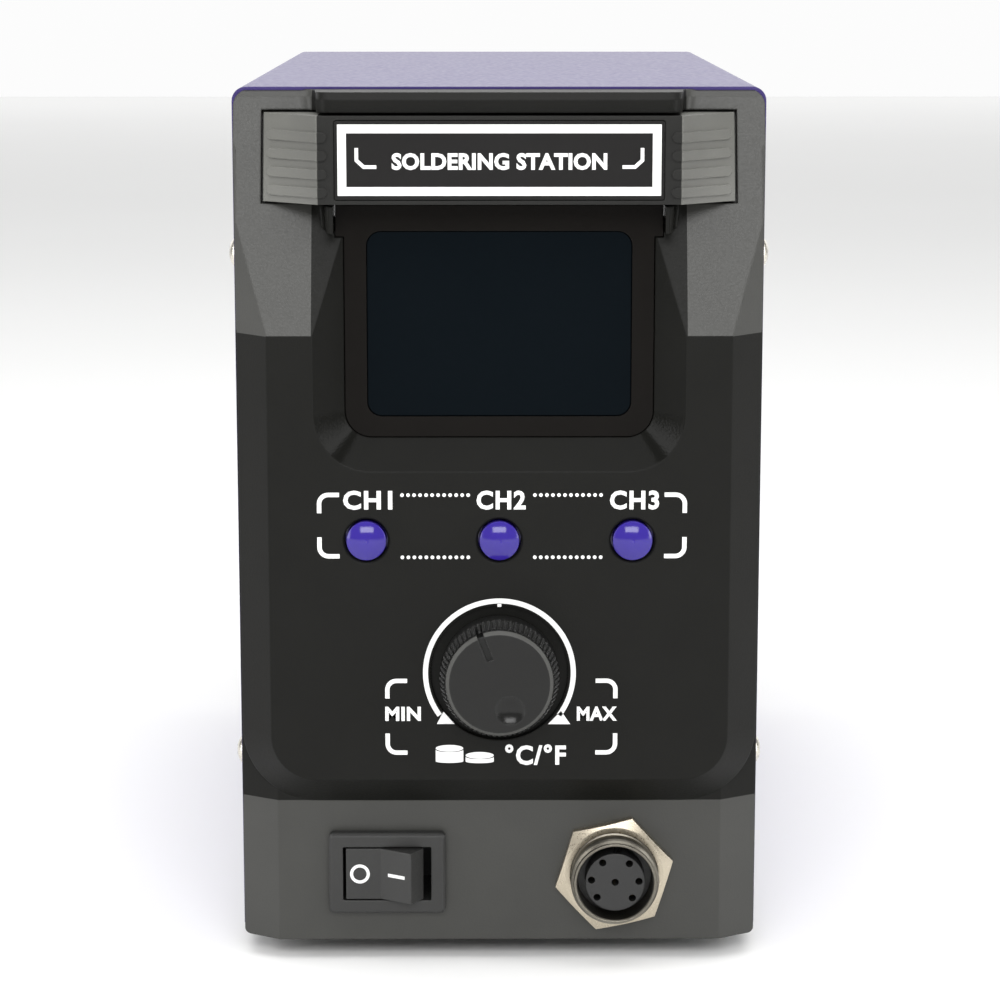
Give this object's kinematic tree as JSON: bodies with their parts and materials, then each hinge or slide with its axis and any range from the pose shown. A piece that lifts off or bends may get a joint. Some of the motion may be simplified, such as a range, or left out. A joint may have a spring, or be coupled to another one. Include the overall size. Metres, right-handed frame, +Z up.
{
  "type": "soldering station",
  "caption": "Upright desk-top soldering station with a display, channel buttons, temperature knob, mains rocker switch and threaded handpiece socket.",
  "frame": {"origin": "on the surface it stands on, under the middle of the station's bounding box", "axes": "+Z up, -Y towards the user (the front panel faces -Y), +X to the right of the front view"},
  "size_m": [0.0962, 0.1924, 0.1573],
  "materials": {
    "base_steel": "black coated sheet",
    "bezel_abs": "fine textured black ABS",
    "board_laminate": "green solder mask",
    "bobbin_nylon": "natural nylon",
    "brass_contact": "plated brass",
    "button_blue": "glossy blue",
    "capacitor_sleeve": "printed sleeve",
    "core_iron": "lacquered laminations",
    "cover_paint": "violet blue powder coat",
    "foot_rubber": "black rubber",
    "frame_steel": "tinned sheet",
    "fuse_glass": "glass tube with plated caps",
    "knob_abs": "satin black",
    "label_print": "black printed foil with a white frame",
    "lcd_glass": "dark display glass",
    "lens_dark": "smoked acrylic",
    "nickel_socket": "warm nickel plate",
    "plated_steel": "zinc plated",
    "ribbon_grey": "grey ribbon",
    "rocker_gloss": "satin black nylon",
    "sink_aluminium": "extruded",
    "socket_plastic": "black moulding",
    "surround_gloss": "polished black",
    "switch_plastic": "black nylon",
    "terminal_green": "green nylon",
    "winding_tape": "yellow tape"
  },
  "bodies": {
    "housing": {"base_chassis": "base_steel", "base_screws": "plated_steel", "board_screws": "plated_steel", "board_standoffs": "brass_contact", "capacitors": "capacitor_sleeve", "control_board": "board_laminate", "cover_screws": "plated_steel", "display_lens": "lens_dark", "foot_screws": "plated_steel", "front_bezel": "bezel_abs", "front_board": "board_laminate", "front_board_screws": "plated_steel", "heat_sink": "sink_aluminium", "inlet_nuts": "plated_steel", "inlet_pins": "brass_contact", "inlet_screws": "plated_steel", "lcd_frame": "frame_steel", "lcd_panel": "lcd_glass", "mains_inlet": "socket_plastic", "name_label": "label_print", "nameplate_bar": "bezel_abs", "pot_nut": "plated_steel", "pot_washer": "plated_steel", "potentiometer": "plated_steel", "power_triac": "switch_plastic", "rear_panel": "base_steel", "ribbon_cable": "ribbon_grey", "ribbon_headers": "switch_plastic", "rocker_frame": "switch_plastic", "rocker_terminals": "brass_contact", "rubber_feet": "foot_rubber", "screen_surround": "surround_gloss", "socket_contacts": "brass_contact", "socket_insert": "socket_plastic", "socket_nut": "nickel_socket", "socket_shell": "nickel_socket", "tact_switches": "switch_plastic", "terminal_block": "terminal_green", "top_cover": "cover_paint", "transformer_bobbin": "bobbin_nylon", "transformer_core": "core_iron", "transformer_screws": "plated_steel", "transformer_strap": "base_steel", "transformer_winding": "winding_tape"},
    "knob": {"control_knob": "knob_abs", "pot_shaft": "plated_steel"},
    "button_1": {"button_cap_1": "button_blue", "switch_plunger_1": "switch_plastic"},
    "button_2": {"button_cap_2": "button_blue", "switch_plunger_2": "switch_plastic"},
    "button_3": {"button_cap_3": "button_blue", "switch_plunger_3": "switch_plastic"},
    "rocker": {"rocker_paddle": "rocker_gloss"},
    "drawer": {"fuse_drawer": "socket_plastic", "fuse": "fuse_glass"}
  },
  "joints": [
    {"name": "knob_turn", "type": "hinge", "parent": "housing", "child": "knob", "pos_m": [0, -0.09135, 0.0551], "axis": [0, -1, 0], "range_deg": [-147.5, 104.5]},
    {"name": "rocker_tilt", "type": "hinge", "parent": "housing", "child": "rocker", "pos_m": [-0.0202, -0.08085, 0.017], "axis": [0, 0, 1], "range_deg": [0, 30]},
    {"name": "fuse_drawer_slide", "type": "slide", "parent": "housing", "child": "drawer", "axis": [0, 1, 0], "range_m": [0, 0.02]},
    {"name": "button_1_press", "type": "slide", "parent": "housing", "child": "button_1", "axis": [0, 1, 0], "range_m": [0, 0.0005], "stiffness_N_per_m": 600},
    {"name": "button_2_press", "type": "slide", "parent": "housing", "child": "button_2", "axis": [0, 1, 0], "range_m": [0, 0.0005], "stiffness_N_per_m": 600},
    {"name": "button_3_press", "type": "slide", "parent": "housing", "child": "button_3", "axis": [0, 1, 0], "range_m": [0, 0.0005], "stiffness_N_per_m": 600}
  ]
}
